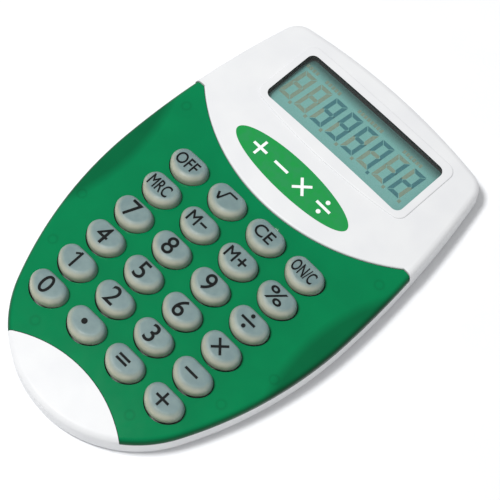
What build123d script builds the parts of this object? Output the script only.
"""Hand-sized desk calculator with a crowned case, 24 keys and an eight-digit display.

Millimetres. +X runs to the right across the keys, +Y towards the display, +Z up.
The origin is the middle of the footprint, on the surface that the feet stand on.
Each piece of the calculator is written to its own STEP file in parts/.
"""
import os
from math import asin, atan2, cos, degrees, hypot, radians, sin, sqrt

from build123d import *

# ---------------------------------------------------------------- case outline, from above
LENGTH = 120.0              # tip to display end
HALF_WIDTH = 38.6           # at the widest place
WIDEST_Y = 2.9              # where the case is widest
TIP_RADIUS = 31.4           # round end nearest the user
UPPER_SIDE_RADIUS = 248.7   # long curve of each side beside the display
END_RADIUS = 203.1          # shallow curve of the display end
CORNER_RADIUS = 5.4         # between the sides and the display end

# ---------------------------------------------------------------- case heights
CROWN_HEIGHT = 9.85         # top of the green cover at the middle
CROWN_RADIUS_X = 412.0      # how the top curves from side to side
CROWN_RADIUS_Y = 716.0      # how the top curves from end to end
RIM_FILLET = 1.6            # round edge between the top and the sides
PARTING_Z = 5.8             # where the upper and lower shells meet
FOOT_STAND = 0.4            # how far the feet hold the case off the table
FLOOR_THICKNESS = 1.2
BASE_WALL = 1.6
BASE_FILLET = 1.2
SEAT_GAP = 0.05             # between pieces that rest on each other

# ---------------------------------------------------------------- white front housing
BEZEL_STEP = 0.6            # the display bezel stands this far above the cover
BEZEL_THICKNESS = 1.6
BEZEL_EDGE_Y = 13.0         # lowest point of the bezel's curved edge
BEZEL_EDGE_RADIUS = 53.5
BEZEL_SHOULDER_Y = 26.0     # where the bezel's edge runs straight out to the side
BEZEL_EDGE_FILLET = 0.45
TIP_PANEL_DEPTH = 12.85     # white panel at the tip, from the tip to the middle of its edge
TIP_PANEL_RADIUS = 35.4
PLATE_THICKNESS = 1.0       # white plate under the cover
HOUSING_WALL = 1.2
SCALLOP_DEPTH_X = 32.6      # the plate stops here beside the middle of the case
SCALLOP_Y = -4.0
SCALLOP_RADIUS = 48.8

# ---------------------------------------------------------------- green key cover
COVER_THICKNESS = 1.0
COVER_SEAM = 0.15           # seam between the cover and the white panels
COVER_EDGE_FILLET = 0.3
COVER_CORNER_RADIUS = 1.6
COVER_OVERRUN = 0.3         # cutting tools for the cover reach this far outside the case
PEG_RADIUS = 1.1
PEG_LENGTH = 2.2
PEG_GAP = 0.05
PEG_INSET = 4.0             # peg centre to the outline
PEG_ROWS = (18.8, -16.5, -29.8, -47.0)

# ---------------------------------------------------------------- keys
KEY_COLUMNS = 4
KEY_ROWS = 6
COLUMN_SPACE = 2.74         # between neighbours in a row
ROW_SPACE = 1.76            # between rows
TOP_ROW_Y = 6.33
KEY_WIDTH = 10.7
KEY_HEIGHT = 7.5
KEY_END_RADIUS = 3.1
KEY_STAND = 2.8             # key top above the cover
KEY_TOP_FILLET = 1.1
KEY_GAP = 0.25              # round each key in its hole
KEY_TRAVEL = 0.8
FLANGE_WIDTH = 0.5
FLANGE_GAP = 0.1            # flange below the plate at rest
PLUNGER_RADIUS = 1.6
PLUNGER_FLOAT = 0.05        # left above the board when the key is down
FLANGE_FLOAT = 0.25         # left above the membrane when the key is down
KEY_NAMES = (
    ("key_off", "key_root", "key_ce", "key_on_c"),
    ("key_mrc", "key_m_minus", "key_m_plus", "key_percent"),
    ("key_7", "key_8", "key_9", "key_divide"),
    ("key_4", "key_5", "key_6", "key_times"),
    ("key_1", "key_2", "key_3", "key_minus"),
    ("key_0", "key_point", "key_equals", "key_plus"),
)

# ---------------------------------------------------------------- circuit board and membrane
BOARD_Z = 2.6               # underside
BOARD_THICKNESS = 0.8
BOARD_INSET = 3.4           # board edge to the case outline
BOARD_LOW_MARGIN = 5.8      # board beyond the bottom row of keys
MEMBRANE_THICKNESS = 0.5
MEMBRANE_PAD_GAP = 1.23     # between the membrane and the contacts on the board
MEMBRANE_LOW_MARGIN = 4.9
MEMBRANE_SIDE_MARGIN = 6.4
MEMBRANE_CORNER = 3.0
WEB_INNER_RADIUS = 2.0
WEB_WALL = 0.8
POST_RADIUS = 1.4
POST_GAP = 0.25
BOARD_SCREW_RADIUS = 0.6
BOARD_SCREW_HEAD_RADIUS = 1.2
BOARD_SCREW_HEAD = 0.6
BOARD_SCREW_GRIP = 2.4      # thread above the board
THREAD_GAP = 0.02
CHIP_RADIUS = 4.6
CHIP_HEIGHT = 0.8
CHIP_Y = -21.5
CHIP_FILLET = 0.56
COMPONENT_SIZE = (2.0, 1.25, 0.7)
COMPONENT_PLACES = ((-12.0, 11.0), (-6.0, 11.0), (0.0, 11.0), (8.0, 9.5), (-24.0, 11.0))

# ---------------------------------------------------------------- display
WINDOW_WIDTH = 46.3
WINDOW_HEIGHT = 17.35
WINDOW_X = 0.5              # window centre to the right of the middle
WINDOW_END_MARGIN = 16.05   # window centre to the display end
WINDOW_CORNER = 1.9
PAD_RISE = 0.3              # soft raised frame round the window
PAD_SIDE = 2.0
PAD_TOP = 2.3
PAD_BOTTOM = 1.0
PAD_ARCH = 2.3              # extra depth of the frame's curved lower edge
PAD_CORNER = 2.6
PAD_FILLET = 0.28
LENS_RECESS = 0.35          # lens face below the frame
LENS_GAP = 0.06
LENS_FLANGE = 1.2
LENS_FLANGE_THICKNESS = 0.55
BEZEL_LIP = 1.0             # bezel left above the lens flange
GASKET_WALL = 1.2
LCD_DEPTH = 2.9             # polariser face below the bezel
LCD_WIDTH = 51.2
LCD_LOW = 11.0              # glass edge below the window centre
LCD_HIGH = 10.2
LCD_LEDGE = 1.7             # contact ledge on the rear glass
GLASS_THICKNESS = 0.8
POLARISER_THICKNESS = 0.2
POLARISER_MARGIN = 0.5
FOAM_SIZE = (40.0, 6.0)
FOAM_V = 2.0
FILM_WIDTH = 28.0
FILM_CENTRE_X = -8.0
FILM_THICKNESS = 0.12
FILM_BEND = 2.2
FILM_PAD = 2.7              # film bonded to the board
FILM_END_GAP = 0.15         # film end to the front glass

# ---------------------------------------------------------------- button cell and door
CELL_RADIUS = 5.8
CELL_HEIGHT = 3.05
CELL_CAN_DROP = 0.45        # rim of the can below the cap
CELL_CAP_STEP = 1.05        # cap radius smaller than the can's
CELL_FILLET = 0.24
CELL_X = 17.0
CELL_BOARD_GAP = 0.4        # between the board's edge and the frame round the door
CELL_DISPLAY_GAP = 0.2      # between the cell's holder and the low edge of the display
CELL_GAP = 0.3
HOLDER_WALL = 1.0
CONTACT_THICKNESS = 0.25
CONTACT_WIDTH = 4.0
CONTACT_PAD = 3.0
CONTACT_GAP = 0.5           # each side of a contact in its slot
DOOR_THICKNESS = 1.6
DOOR_SIDE_MARGIN = 2.4      # door beyond the cell at each side
DOOR_END_MARGIN = 1.9       # door beyond the cell at each end
DOOR_GAP = 0.12
DOOR_FRAME = 2.2
DOOR_FRAME_RISE = 0.9
PIVOT_RADIUS = 0.5
PIVOT_GAP = 0.06
PIVOT_LENGTH = 1.1
PIVOT_END_GAP = 0.15
NAIL_SLOT = (7.0, 2.4, 0.7)

# ---------------------------------------------------------------- screws and feet
SCREW_RADIUS = 0.9
SCREW_HEAD_RADIUS = 1.7
SCREW_HEAD = 1.1
SCREW_RECESS = 0.5          # head below the underside
SCREW_HOLE_GAP = 0.12
SCREW_SLOT_WIDTH = 0.4
SCREW_SLOT_DEPTH = 0.4      # share of the head's height
SCREW_SLOT_REACH = 1.3      # share of the head's radius
SCREW_TIP_COVER = 1.9       # screw tip below the top surface
BOSS_RADIUS = 2.3
BOSS_MEET_Z = 4.2           # where the upper and lower bosses touch
BOSS_TOP_Y = 45.0
BOSS_TOP_INSET = 4.8
BOSS_LOW_X = 12.0
BOSS_LOW_Y = 8.8            # above the tip
FOOT_RADIUS = 3.5
FOOT_RECESS = 0.4
FOOT_GAP = 0.1
FOOT_TOP_PLACE = (30.0, 35.0)
FOOT_LOW_PLACE = (18.0, -40.0)
PRY_WIDTH = 5.0
PRY_DEPTH = 1.0
PRY_HEIGHT = 0.6

# ---------------------------------------------------------------- places worked out from the sizes
END_Y = LENGTH / 2
TIP_Y = -LENGTH / 2
WINDOW_Y = END_Y - WINDOW_END_MARGIN
TIP_PANEL_Y = TIP_Y + TIP_PANEL_DEPTH
COLUMN_PITCH = KEY_WIDTH + COLUMN_SPACE
ROW_PITCH = KEY_HEIGHT + ROW_SPACE
LOW_ROW_Y = TOP_ROW_Y - (KEY_ROWS - 1) * ROW_PITCH
CAVITY_INSET = COVER_THICKNESS + SEAT_GAP + HOUSING_WALL
PLATE_LIFT = -COVER_THICKNESS - SEAT_GAP
PLATE_UNDER = PLATE_LIFT - PLATE_THICKNESS
BEZEL_UNDER = BEZEL_STEP - BEZEL_THICKNESS
BOARD_TOP = BOARD_Z + BOARD_THICKNESS
MEMBRANE_TOP = BOARD_TOP + MEMBRANE_THICKNESS
PLUNGER_Z = BOARD_TOP + KEY_TRAVEL + PLUNGER_FLOAT
FLANGE_Z = MEMBRANE_TOP + KEY_TRAVEL + FLANGE_FLOAT
WEB_TOP = FLANGE_Z - KEY_TRAVEL - PLUNGER_FLOAT
FLOOR_TOP = FOOT_STAND + FLOOR_THICKNESS
DOOR_TOP = FOOT_STAND + DOOR_THICKNESS
CELL_Z = DOOR_TOP + SEAT_GAP
LCD_STACK = LCD_DEPTH + POLARISER_THICKNESS + 2 * GLASS_THICKNESS
LCD_LOW_Y = WINDOW_Y - LCD_LOW - LCD_STACK * WINDOW_Y / CROWN_RADIUS_Y
HOLDER_RADIUS = CELL_RADIUS + CELL_GAP + HOLDER_WALL
CELL_Y = LCD_LOW_Y - CELL_DISPLAY_GAP - HOLDER_RADIUS
DOOR_WIDTH = 2 * (CELL_RADIUS + DOOR_SIDE_MARGIN)
DOOR_LENGTH = 2 * (CELL_RADIUS + DOOR_END_MARGIN)
BOARD_END_Y = CELL_Y - DOOR_LENGTH / 2 - DOOR_FRAME - CELL_BOARD_GAP
OVERCUT = 1.0               # how far a cutting tool passes a face
TALL = CROWN_HEIGHT + KEY_STAND + 3 * OVERCUT
WIDE = 3 * LENGTH


# ---------------------------------------------------------------- shared shapes
def crown_z(x, y, lift=0.0):
    """Height of the crowned surface, raised by lift, above a place on the table."""
    across = sqrt((CROWN_RADIUS_X + lift) ** 2 - x * x)
    return CROWN_HEIGHT - CROWN_RADIUS_Y + sqrt((CROWN_RADIUS_Y - CROWN_RADIUS_X + across) ** 2 - y * y)


def crown_block(lift=0.0):
    """Everything below the crowned surface raised by lift: one arc swept round another."""
    span = LENGTH / 2
    low = CROWN_HEIGHT - CROWN_RADIUS_X / 8
    edge_z = crown_z(span, 0, lift)
    top = ThreePointArc((-span, 0, edge_z), (0, 0, CROWN_HEIGHT + lift), (span, 0, edge_z))
    sides = Polyline((span, 0, edge_z), (span, 0, low), (-span, 0, low), (-span, 0, edge_z))
    profile = make_face([top, *sides.edges()])
    hub = Axis((0, 0, CROWN_HEIGHT - CROWN_RADIUS_Y), (1, 0, 0))
    sweep_angle = 2.5 * degrees(asin(span / CROWN_RADIUS_Y))
    return revolve(profile, hub, sweep_angle).rotate(hub, -sweep_angle / 2)


def arc_from(centre, radius, start, end):
    """Arc round centre between two places that both lie on it, the short way."""
    mid_x = (start[0] + end[0]) / 2 - centre[0]
    mid_y = (start[1] + end[1]) / 2 - centre[1]
    stretch = radius / hypot(mid_x, mid_y)
    return ThreePointArc(start, (centre[0] + mid_x * stretch, centre[1] + mid_y * stretch), end)


def toward(centre, through, radius):
    """Place on the circle round centre in the direction of another place."""
    reach = hypot(through[0] - centre[0], through[1] - centre[1])
    dx = (through[0] - centre[0]) / reach
    dy = (through[1] - centre[1]) / reach
    return (centre[0] + radius * dx, centre[1] + radius * dy)


def outline_centres():
    """Centres of the arcs of the right half: tip, lower side, upper side, end, corner."""
    tip = (0.0, TIP_Y + TIP_RADIUS)
    drop = WIDEST_Y - tip[1]
    side_radius = (HALF_WIDTH**2 + drop**2 - TIP_RADIUS**2) / (2 * (HALF_WIDTH - TIP_RADIUS))
    lower = (HALF_WIDTH - side_radius, WIDEST_Y)
    upper = (HALF_WIDTH - UPPER_SIDE_RADIUS, WIDEST_Y)
    end = (0.0, END_Y - END_RADIUS)
    reach_upper = UPPER_SIDE_RADIUS - CORNER_RADIUS
    reach_end = END_RADIUS - CORNER_RADIUS
    apart = hypot(end[0] - upper[0], end[1] - upper[1])
    along = (reach_upper**2 - reach_end**2 + apart**2) / (2 * apart)
    aside = sqrt(reach_upper**2 - along**2)
    ux = (end[0] - upper[0]) / apart
    uy = (end[1] - upper[1]) / apart
    corner = (upper[0] + along * ux - aside * uy, upper[1] + along * uy + aside * ux)
    return tip, lower, upper, end, corner, side_radius


def outline(inset=0.0):
    """Face inside the case outline, moved inwards by inset: ten tangent arcs."""
    tip, lower, upper, end, corner, side_radius = outline_centres()
    at_tip = (0.0, TIP_Y + inset)
    tip_to_side = toward(lower, tip, side_radius - inset)
    widest = (HALF_WIDTH - inset, WIDEST_Y)
    side_to_corner = toward(upper, corner, UPPER_SIDE_RADIUS - inset)
    corner_to_end = toward(end, corner, END_RADIUS - inset)
    at_end = (0.0, END_Y - inset)
    right = [
        arc_from(tip, TIP_RADIUS - inset, at_tip, tip_to_side),
        arc_from(lower, side_radius - inset, tip_to_side, widest),
        arc_from(upper, UPPER_SIDE_RADIUS - inset, widest, side_to_corner),
        arc_from(corner, CORNER_RADIUS - inset, side_to_corner, corner_to_end),
        arc_from(end, END_RADIUS - inset, corner_to_end, at_end),
    ]
    left = [mirror(edge, Plane.YZ) for edge in right]
    return make_face([*right, *left])


def half_width_at(y):
    """Half the width of the case outline at a place along it."""
    tip, lower, upper, end, corner, side_radius = outline_centres()
    if y < toward(lower, tip, side_radius)[1]:
        return sqrt(TIP_RADIUS**2 - (y - tip[1]) ** 2)
    centre = lower if y < WIDEST_Y else upper
    radius = side_radius if y < WIDEST_Y else UPPER_SIDE_RADIUS
    return centre[0] + sqrt(radius**2 - (y - WIDEST_Y) ** 2)


def column(face, low=0.0, high=TALL):
    """The face, drawn on the table, as an upright column between two heights."""
    return extrude(Pos(0, 0, low) * face, high - low)


def top_edges(solid):
    """Edges round the face that is highest and faces up."""
    return solid.faces().filter_by(lambda f: f.normal_at().Z > 0.9).sort_by(Axis.Z)[-1].edges()


def disc(x, y, radius):
    return Pos(x, y) * Circle(radius)


def bezel_zone(inset=0.0):
    """Where the display bezel lies: above a long arc, with straight shoulders at the sides."""
    radius = BEZEL_EDGE_RADIUS - inset
    bowl = disc(0, BEZEL_EDGE_Y + BEZEL_EDGE_RADIUS, radius)
    return bowl + Pos(0, BEZEL_SHOULDER_Y + inset + WIDE / 2) * Rectangle(WIDE, WIDE)


def tip_zone(inset=0.0):
    """Where the white panel at the tip lies: below an arc."""
    return disc(0, TIP_PANEL_Y - TIP_PANEL_RADIUS, TIP_PANEL_RADIUS - inset)


def cover_plan(inset=0.0):
    """The cover seen from above, run out past the sides; its upper corners are rounded."""
    plan = outline(-COVER_OVERRUN) - bezel_zone(-inset) - tip_zone(-inset)
    corners = plan.vertices().filter_by(lambda v: abs(v.Y - BEZEL_SHOULDER_Y + inset) < SEAT_GAP)
    outer = corners.sort_by(lambda v: abs(v.X))[-2:]
    return fillet(outer, COVER_CORNER_RADIUS)


def key_places():
    """Name and centre of every key."""
    for row, names in enumerate(KEY_NAMES):
        for col, name in enumerate(names):
            x = (col - (KEY_COLUMNS - 1) / 2) * COLUMN_PITCH
            yield name, x, TOP_ROW_Y - row * ROW_PITCH


def key_outline(grow=0.0):
    """Key seen from above: straight top edge, round ends and a long lower arc."""
    end_x = KEY_WIDTH / 2 - KEY_END_RADIUS
    end_y = KEY_HEIGHT / 2 - KEY_END_RADIUS
    low_y = -KEY_HEIGHT / 2
    rise = end_y - low_y
    low_radius = (end_x**2 + rise**2 - KEY_END_RADIUS**2) / (2 * (rise - KEY_END_RADIUS))
    centre = (0.0, low_y + low_radius)
    radius = KEY_END_RADIUS + grow
    top_y = KEY_HEIGHT / 2 + grow
    arcs = []
    for side in (1, -1):
        end = (side * end_x, end_y)
        outer = (side * (end_x + radius), end_y)
        meet = toward(centre, end, low_radius + grow)
        arcs.append(arc_from(end, radius, (side * end_x, top_y), outer))
        arcs.append(arc_from(end, radius, outer, meet))
        arcs.append(arc_from(centre, low_radius + grow, meet, (0, low_y - grow)))
    return make_face([Line((-end_x, top_y), (end_x, top_y)), *arcs])


def every_key_hole(grow):
    """All the key outlines together, for cutting the plate and the cover."""
    return Sketch() + [Pos(x, y) * key_outline(grow) for _, x, y in key_places()]


def post_places():
    """Board posts, in the gaps where four keys meet."""
    for row in range(KEY_ROWS - 1):
        y = TOP_ROW_Y - (row + 0.5) * ROW_PITCH
        for step in (-1, 1) if row % 2 == 0 else (0,):
            yield step * COLUMN_PITCH, y


def peg_places():
    for y in PEG_ROWS:
        x = half_width_at(y) - PEG_INSET
        yield x, y
        yield -x, y


def boss_places():
    top_x = half_width_at(BOSS_TOP_Y) - BOSS_TOP_INSET
    for side in (1, -1):
        yield side * top_x, BOSS_TOP_Y
        yield side * BOSS_LOW_X, TIP_Y + BOSS_LOW_Y


def foot_places():
    for x, y in (FOOT_TOP_PLACE, FOOT_LOW_PLACE):
        yield x, y
        yield -x, y


def window(grow=0.0):
    """Display window seen from above."""
    shape = RectangleRounded(WINDOW_WIDTH + 2 * grow, WINDOW_HEIGHT + 2 * grow, WINDOW_CORNER + grow)
    return Pos(WINDOW_X, WINDOW_Y) * shape


def display_plane():
    """Plane touching the bezel at the middle of the window; the display lies parallel to it."""
    tilt = asin(WINDOW_Y / (CROWN_RADIUS_Y + BEZEL_STEP))
    middle = (WINDOW_X, WINDOW_Y, crown_z(0, WINDOW_Y, BEZEL_STEP))
    return Plane(origin=middle, x_dir=(1, 0, 0), z_dir=(0, sin(tilt), cos(tilt)))


def display_slab(width, low, high, bottom, top):
    """Flat slab parallel to the display, between two heights below the bezel."""
    centre = Pos(0, (low + high) / 2, (bottom + top) / 2)
    return display_plane() * centre * Box(width, high - low, top - bottom)


# ---------------------------------------------------------------- the upper case
def bezel_block():
    """Outside of the display bezel, with its rounded rim and curved lower edge."""
    plan = outline() - cover_plan(-COVER_SEAM) - tip_zone(COVER_SEAM)
    plan = plan.faces().sort_by(Axis.Y)[-1]
    block = column(plan) & crown_block(BEZEL_STEP)
    inner = outline(SEAT_GAP)
    rim = [e for e in top_edges(block) if not inner.is_inside(Vector(e.center().X, e.center().Y, 0))]
    block = fillet(rim, RIM_FILLET)
    middle = [e for e in top_edges(block) if abs(e.center().X) < OVERCUT]
    arc = [e for e in middle if e.center().Y < BEZEL_SHOULDER_Y - OVERCUT]
    return fillet(arc, BEZEL_EDGE_FILLET)


def case_block():
    """Outside of the cover and the tip panel together, with the rounded rim."""
    block = column(outline()) & crown_block()
    return fillet(top_edges(block), RIM_FILLET)


def tip_block():
    """Outside of the white panel at the tip."""
    return case_block() & column(tip_zone(COVER_SEAM))


def window_frame():
    """Soft raised frame round the window, deeper below it."""
    top_y = WINDOW_Y + WINDOW_HEIGHT / 2 + PAD_TOP
    low_y = WINDOW_Y - WINDOW_HEIGHT / 2 - PAD_BOTTOM
    side_x = WINDOW_WIDTH / 2 + PAD_SIDE
    top = Polyline((-side_x, low_y), (-side_x, top_y), (side_x, top_y), (side_x, low_y))
    arch = ThreePointArc((side_x, low_y), (0, low_y - PAD_ARCH), (-side_x, low_y))
    plan = make_face([*top.edges(), arch])
    plan = Pos(WINDOW_X, 0) * fillet(plan.vertices(), PAD_CORNER)
    block = column(plan, PARTING_Z) & crown_block(BEZEL_STEP + PAD_RISE)
    return fillet(top_edges(block), PAD_FILLET)


def front_housing():
    """White upper shell: bezel, tip panel, recessed plate, walls, posts and bosses."""
    shell = bezel_block() + tip_block() + window_frame()
    shell += column(outline(COVER_THICKNESS + SEAT_GAP)) & crown_block(PLATE_LIFT)
    cavity = column(outline(CAVITY_INSET)) & crown_block(PLATE_UNDER)
    cavity += column(outline(CAVITY_INSET) & bezel_zone(HOUSING_WALL)) & crown_block(BEZEL_UNDER)
    shell -= cavity
    shell -= column(window())
    shell -= column(window(LENS_FLANGE + LENS_GAP)) & crown_block(BEZEL_STEP - BEZEL_LIP)
    shell -= column(every_key_hole(KEY_GAP))
    for side in (1, -1):
        scallop = disc(side * (SCALLOP_DEPTH_X + SCALLOP_RADIUS), SCALLOP_Y, SCALLOP_RADIUS)
        shell -= column(scallop)
    shell -= column(Sketch() + [disc(x, y, PEG_RADIUS + PEG_GAP) for x, y in peg_places()])
    shell &= column(Rectangle(WIDE, WIDE), PARTING_Z)
    for x, y in boss_places():
        lift = BEZEL_UNDER if y > 0 else PLATE_UNDER
        tip_z = crown_z(x, y) - SCREW_TIP_COVER
        shell += column(disc(x, y, BOSS_RADIUS), BOSS_MEET_Z, crown_z(x, y, lift) + PLATE_THICKNESS / 2)
        shell -= column(disc(x, y, SCREW_RADIUS + THREAD_GAP), BOSS_MEET_Z - OVERCUT, tip_z + SEAT_GAP)
    for x, y in post_places():
        shell += column(disc(x, y, POST_RADIUS), BOARD_TOP, crown_z(x, y, PLATE_UNDER) + PLATE_THICKNESS / 2)
        bore_top = BOARD_TOP + BOARD_SCREW_GRIP + SEAT_GAP
        shell -= column(disc(x, y, BOARD_SCREW_RADIUS + THREAD_GAP), BOARD_TOP, bore_top)
    return shell


def key_cover():
    """Green cover: follows the crown, wraps down the sides and is pegged to the plate."""
    block = case_block() & column(cover_plan(), PARTING_Z + SEAT_GAP)
    cover = block - (column(outline(COVER_THICKNESS)) & crown_block(-COVER_THICKNESS))
    pegs = Sketch() + [disc(x, y, PEG_RADIUS) for x, y in peg_places()]
    peg_block = column(pegs) & crown_block(-COVER_THICKNESS + SEAT_GAP)
    cover += peg_block - crown_block(-COVER_THICKNESS - PEG_LENGTH)
    return cover - column(every_key_hole(KEY_GAP))


# ---------------------------------------------------------------- keys, membrane and board
def key(x, y):
    """One key: rounded cap, flange that stops under the plate, and a plunger."""
    stem = column(Pos(x, y) * key_outline(), FLANGE_Z) & crown_block(KEY_STAND)
    stem = fillet(top_edges(stem), KEY_TOP_FILLET)
    flange = column(Pos(x, y) * key_outline(FLANGE_WIDTH), FLANGE_Z) & crown_block(PLATE_UNDER - FLANGE_GAP)
    plunger = column(disc(x, y, PLUNGER_RADIUS), PLUNGER_Z, FLANGE_Z + SEAT_GAP)
    return stem + flange + plunger


def keypad_membrane():
    """Rubber sheet with a round web under each key and holes for the board posts."""
    side = (KEY_COLUMNS - 1) / 2 * COLUMN_PITCH + MEMBRANE_SIDE_MARGIN
    high = BOARD_END_Y - CONTACT_PAD - MEMBRANE_PAD_GAP
    low = LOW_ROW_Y - MEMBRANE_LOW_MARGIN
    sheet_plan = Pos(0, (high + low) / 2) * RectangleRounded(2 * side, high - low, MEMBRANE_CORNER)
    sheet = column(sheet_plan & outline(BOARD_INSET), BOARD_TOP, MEMBRANE_TOP)
    webs = Sketch() + [disc(x, y, WEB_INNER_RADIUS + WEB_WALL) for _, x, y in key_places()]
    sheet += column(webs, BOARD_TOP, WEB_TOP)
    holes = Sketch() + [disc(x, y, WEB_INNER_RADIUS) for _, x, y in key_places()]
    holes += [disc(x, y, POST_RADIUS + POST_GAP) for x, y in post_places()]
    return sheet - column(holes)


def board_plan():
    low = LOW_ROW_Y - BOARD_LOW_MARGIN
    strip = Pos(0, (BOARD_END_Y + low) / 2) * Rectangle(WIDE, BOARD_END_Y - low)
    return outline(BOARD_INSET) & strip


def pcb():
    holes = Sketch() + [disc(x, y, BOARD_SCREW_RADIUS + SCREW_HOLE_GAP) for x, y in post_places()]
    return column(board_plan() - holes, BOARD_Z, BOARD_TOP)


def screw(x, y, head_z, head_radius, head_height, radius, tip_z):
    """Round-headed screw standing on its head, with a crosshead recess in the head."""
    body = column(disc(x, y, head_radius), head_z, head_z + head_height)
    body += column(disc(x, y, radius), head_z + head_height, tip_z)
    reach = head_radius * SCREW_SLOT_REACH
    slot = Rectangle(reach, SCREW_SLOT_WIDTH) + Rectangle(SCREW_SLOT_WIDTH, reach)
    return body - column(Pos(x, y) * slot, head_z, head_z + head_height * SCREW_SLOT_DEPTH)


def pcb_screws():
    head_z = BOARD_Z - BOARD_SCREW_HEAD
    tip_z = BOARD_TOP + BOARD_SCREW_GRIP
    return [
        screw(x, y, head_z, BOARD_SCREW_HEAD_RADIUS, BOARD_SCREW_HEAD, BOARD_SCREW_RADIUS, tip_z)
        for x, y in post_places()
    ]


def chip_blob():
    """Epoxy drop over the bare chip, under the board."""
    drop = column(disc(COLUMN_PITCH / 2, CHIP_Y, CHIP_RADIUS), BOARD_Z - CHIP_HEIGHT, BOARD_Z)
    low = drop.faces().sort_by(Axis.Z)[0].edges()
    return fillet(low, CHIP_FILLET)


def pcb_components():
    width, depth, height = COMPONENT_SIZE
    return [Pos(x, y, BOARD_Z - height / 2) * Box(width, depth, height) for x, y in COMPONENT_PLACES]


# ---------------------------------------------------------------- display
def display_lens():
    """Clear window, pushed in from behind and stopped by its flange."""
    face_lift = BEZEL_STEP + PAD_RISE - LENS_RECESS
    flange_lift = BEZEL_STEP - BEZEL_LIP - SEAT_GAP
    under_lift = flange_lift - LENS_FLANGE_THICKNESS
    lens = column(window(-LENS_GAP)) & crown_block(face_lift)
    lens += column(window(LENS_FLANGE)) & crown_block(flange_lift)
    return lens - crown_block(under_lift)


def lcd_gasket():
    """Black frame between the lens and the display, which hides the glass edges."""
    under_lift = BEZEL_STEP - BEZEL_LIP - 2 * SEAT_GAP - LENS_FLANGE_THICKNESS
    ring = column(window(GASKET_WALL) - window()) & crown_block(under_lift)
    below = display_slab(WIDE, -WIDE / 2, WIDE / 2, -WIDE, SEAT_GAP - LCD_DEPTH)
    return ring - below


def polariser():
    width = LCD_WIDTH - 2 * POLARISER_MARGIN
    low = LCD_LEDGE + POLARISER_MARGIN - LCD_LOW
    return display_slab(width, low, LCD_HIGH - POLARISER_MARGIN, -LCD_DEPTH - POLARISER_THICKNESS, -LCD_DEPTH)


def lcd_panel():
    """Two sheets of glass; the rear one is longer, for the contacts."""
    top = -LCD_DEPTH - POLARISER_THICKNESS
    middle = top - GLASS_THICKNESS
    front = display_slab(LCD_WIDTH, LCD_LEDGE - LCD_LOW, LCD_HIGH, middle, top)
    return front + display_slab(LCD_WIDTH, -LCD_LOW, LCD_HIGH, middle - GLASS_THICKNESS, middle)


def lcd_under():
    """Underside of the glass, below the bezel."""
    return -LCD_STACK


def lcd_reflector():
    width = LCD_WIDTH - 2 * POLARISER_MARGIN
    top = lcd_under()
    low = POLARISER_MARGIN - LCD_LOW
    return display_slab(width, low, LCD_HIGH - POLARISER_MARGIN, top - POLARISER_THICKNESS, top)


def foam_prism():
    """Upright block over the foam pad's footprint, up to the reflector."""
    width, depth = FOAM_SIZE
    above = display_slab(WIDE, -WIDE / 2, WIDE / 2, lcd_under() - POLARISER_THICKNESS, WIDE)
    return column(Pos(WINDOW_X, WINDOW_Y + FOAM_V) * Rectangle(width, depth), FLOOR_TOP) - above


def lcd_foam_pad():
    """Foam that presses the display forward against its gasket."""
    return foam_prism()


def lcd_film():
    """Heat-sealed connector film from the display's ledge down to the board."""
    plane = display_plane()
    ledge_height = -LCD_DEPTH - POLARISER_THICKNESS - GLASS_THICKNESS + FILM_THICKNESS
    start = plane.from_local_coords(Vector(0, LCD_LEDGE - LCD_LOW - FILM_END_GAP, ledge_height))
    leave = plane.from_local_coords(Vector(0, -LCD_LOW - FILM_BEND / 2, ledge_height))
    land_z = BOARD_TOP + FILM_THICKNESS
    points = [
        (start.Y, start.Z),
        (leave.Y, leave.Z),
        (BOARD_END_Y + FILM_BEND / 2, land_z),
        (BOARD_END_Y - FILM_PAD, land_z),
    ]
    path = FilletPolyline(*points, radius=FILM_BEND)
    strip = trace(path, FILM_THICKNESS)
    return Pos(FILM_CENTRE_X - FILM_WIDTH / 2, 0, 0) * extrude(Plane.YZ * strip, FILM_WIDTH)


# ---------------------------------------------------------------- button cell
def battery_cell():
    """Button cell, with its smaller negative cap upwards."""
    can_top = CELL_Z + CELL_HEIGHT - CELL_CAN_DROP
    can = fillet(column(disc(CELL_X, CELL_Y, CELL_RADIUS), CELL_Z, can_top).edges(), CELL_FILLET)
    cap = disc(CELL_X, CELL_Y, CELL_RADIUS - CELL_CAP_STEP)
    cap = column(cap, can_top - CELL_CAN_DROP, CELL_Z + CELL_HEIGHT)
    return can + cap


def battery_contact_negative():
    """Sprung strip over the cell, cranked down to a pad on the board."""
    over = CELL_Z + CELL_HEIGHT + SEAT_GAP + CONTACT_THICKNESS / 2
    land = BOARD_TOP + SEAT_GAP + CONTACT_THICKNESS / 2
    crank_y = CELL_Y - CELL_RADIUS - CELL_GAP - HOLDER_WALL / 2
    points = [
        (CELL_Y + CONTACT_WIDTH / 2, over),
        (crank_y, over),
        (BOARD_END_Y, land),
        (BOARD_END_Y - CONTACT_PAD, land),
    ]
    strip = trace(Polyline(*points), CONTACT_THICKNESS)
    return Pos(CELL_X - CONTACT_WIDTH / 2, 0, 0) * extrude(Plane.YZ * strip, CONTACT_WIDTH)


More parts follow.
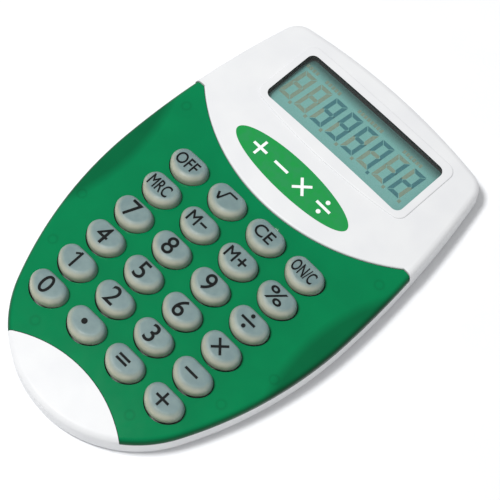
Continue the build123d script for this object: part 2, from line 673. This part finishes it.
def battery_contact_positive():
    """Upright spring that bears on the side of the can, with a foot on the board."""
    inner_x = CELL_X + CELL_RADIUS + SEAT_GAP
    blade_high = CELL_Z + CELL_HEIGHT - CELL_CAN_DROP
    near = BOARD_END_Y - CONTACT_PAD
    far = CELL_Y + CONTACT_WIDTH / 2
    land = BOARD_TOP + SEAT_GAP
    blade = Pos(inner_x, 0) * Rectangle(CONTACT_THICKNESS, far - near, align=(Align.MIN, Align.MIN))
    blade = Pos(0, near) * blade
    foot = Pos(inner_x, near) * Rectangle(CONTACT_WIDTH / 2, CONTACT_PAD, align=(Align.MIN, Align.MIN))
    return column(blade, land, blade_high) + column(foot, land, land + CONTACT_THICKNESS)


def door_axis():
    """Height and place along the case of the door's pivot line."""
    return CELL_Y + DOOR_LENGTH / 2 - DOOR_THICKNESS / 2, FOOT_STAND + DOOR_THICKNESS / 2


def door_profile(grow):
    """Section of the door along the case: flat plate with a round hinge end."""
    axis_y, axis_z = door_axis()
    low_y = CELL_Y - DOOR_LENGTH / 2 - grow
    plate = Pos((low_y + axis_y) / 2, axis_z) * Rectangle(axis_y - low_y, DOOR_THICKNESS)
    return plate + Pos(axis_y, axis_z) * Circle(DOOR_THICKNESS / 2 + grow)


def across(x, y, z, radius, length):
    """Round bar along X, centred on a place."""
    return Pos(x, y, z) * Rot(0, 90, 0) * Cylinder(radius, length)


def battery_door():
    """Door over the button cell; it swings down on two moulded pivots."""
    axis_y, axis_z = door_axis()
    plate = extrude(Plane.YZ * door_profile(0), DOOR_WIDTH)
    door = Pos(CELL_X - DOOR_WIDTH / 2, 0, 0) * plate
    door += across(CELL_X, axis_y, axis_z, PIVOT_RADIUS, DOOR_WIDTH + 2 * PIVOT_LENGTH)
    nail_x, nail_y, nail_z = NAIL_SLOT
    slot_y = CELL_Y - DOOR_LENGTH / 2
    return door - Pos(CELL_X, slot_y, FOOT_STAND) * Box(nail_x, nail_y, 2 * nail_z)


# ---------------------------------------------------------------- the lower case
def base_block():
    block = column(outline(), FOOT_STAND, PARTING_Z)
    low = block.faces().sort_by(Axis.Z)[0].edges()
    block = fillet(low, BASE_FILLET)
    return block - column(outline(BASE_WALL), FLOOR_TOP)


def door_opening():
    """Space for the door, its pivots and the fingernail that opens it."""
    axis_y, axis_z = door_axis()
    plate = extrude(Plane.YZ * door_profile(DOOR_GAP), DOOR_WIDTH + 2 * DOOR_GAP)
    space = Pos(CELL_X - DOOR_WIDTH / 2 - DOOR_GAP, 0, 0) * plate
    width = DOOR_WIDTH + 2 * DOOR_GAP
    length = axis_y - CELL_Y + DOOR_LENGTH / 2 + DOOR_GAP
    middle = axis_y - length / 2
    space += Pos(CELL_X, middle, 0) * Box(width, length, 2 * DOOR_TOP)
    hinge_reach = DOOR_THICKNESS / 2 + DOOR_GAP
    space += Pos(CELL_X, axis_y, axis_z / 2) * Box(width, 2 * hinge_reach, axis_z)
    bar = DOOR_WIDTH + 2 * (PIVOT_LENGTH + PIVOT_END_GAP)
    space += across(CELL_X, axis_y, axis_z, PIVOT_RADIUS + PIVOT_GAP, bar)
    nail_x, nail_y, nail_z = NAIL_SLOT
    return space + Pos(CELL_X, CELL_Y - DOOR_LENGTH / 2, FOOT_STAND) * Box(nail_x, 2 * nail_y, 2 * nail_z)


def back_shell():
    """White lower shell: floor, wall, screw tubes, cell holder and feet recesses."""
    shell = base_block()
    frame_width = DOOR_WIDTH + 2 * DOOR_FRAME
    frame_length = DOOR_LENGTH + 2 * DOOR_FRAME
    frame = Pos(CELL_X, CELL_Y) * Rectangle(frame_width, frame_length)
    shell += column(frame, FOOT_STAND, DOOR_TOP + DOOR_FRAME_RISE)
    holder_top = CELL_Z + CELL_HEIGHT
    shell += column(disc(CELL_X, CELL_Y, HOLDER_RADIUS), FOOT_STAND, holder_top)
    shell -= column(disc(CELL_X, CELL_Y, CELL_RADIUS + CELL_GAP))
    shell -= door_opening()
    slot = Rectangle(CONTACT_WIDTH + 2 * CONTACT_GAP, 3 * HOLDER_WALL)
    shell -= column(Pos(CELL_X, CELL_Y - CELL_RADIUS - CELL_GAP) * slot, holder_top - HOLDER_WALL)
    side_slot_x = CELL_X + CELL_RADIUS + CELL_GAP
    side_slot = Pos(side_slot_x, CELL_Y) * Rectangle(3 * HOLDER_WALL, CONTACT_WIDTH + 2 * HOLDER_WALL)
    low_slot = Pos(side_slot_x, CELL_Y - CELL_RADIUS) * Rectangle(3 * HOLDER_WALL, 2 * CELL_RADIUS)
    shell -= column(side_slot + low_slot, DOOR_TOP + DOOR_FRAME_RISE)
    for x, y in boss_places():
        shell += column(disc(x, y, SCREW_HEAD_RADIUS + SCREW_HOLE_GAP + HOLDER_WALL), FOOT_STAND, BOSS_MEET_Z)
    shell &= column(outline(), 0, PARTING_Z)
    for x, y in boss_places():
        shell -= column(disc(x, y, SCREW_RADIUS + SCREW_HOLE_GAP), 0, BOSS_MEET_Z + OVERCUT)
        seat_z = FOOT_STAND + SCREW_RECESS + SCREW_HEAD
        shell -= column(disc(x, y, SCREW_HEAD_RADIUS + SCREW_HOLE_GAP), 0, seat_z)
    feet = Sketch() + [disc(x, y, FOOT_RADIUS + FOOT_GAP) for x, y in foot_places()]
    shell -= column(feet, 0, FOOT_STAND + FOOT_RECESS)
    pry = Pos(0, TIP_Y, PARTING_Z) * Box(PRY_WIDTH, 2 * PRY_DEPTH, 2 * PRY_HEIGHT)
    return shell - pry


def housing_screws():
    head_z = FOOT_STAND + SCREW_RECESS
    return [
        screw(x, y, head_z, SCREW_HEAD_RADIUS, SCREW_HEAD, SCREW_RADIUS, crown_z(x, y) - SCREW_TIP_COVER)
        for x, y in boss_places()
    ]


def rubber_feet():
    return [column(disc(x, y, FOOT_RADIUS), 0, FOOT_STAND + FOOT_RECESS) for x, y in foot_places()]


# ---------------------------------------------------------------- write every piece
def write(name, shape):
    """Write one node: a single solid, or a group of separate solids."""
    solids = shape if isinstance(shape, list) else [shape]
    found = [solid for item in solids for solid in item.solids()]
    body = found[0] if len(found) == 1 else Compound(children=found)
    export_step(body, f"parts/{name}.step")


def main():
    os.makedirs("parts", exist_ok=True)
    pieces = (
        front_housing, key_cover, back_shell, display_lens, lcd_gasket, polariser, lcd_panel,
        lcd_reflector, lcd_foam_pad, lcd_film, keypad_membrane, pcb, chip_blob, pcb_components,
        pcb_screws, battery_cell, battery_contact_positive, battery_contact_negative,
        battery_door, housing_screws, rubber_feet,
    )
    for piece in pieces:
        write(piece.__name__, piece())
    for name, x, y in key_places():
        write(name, key(x, y))


main()
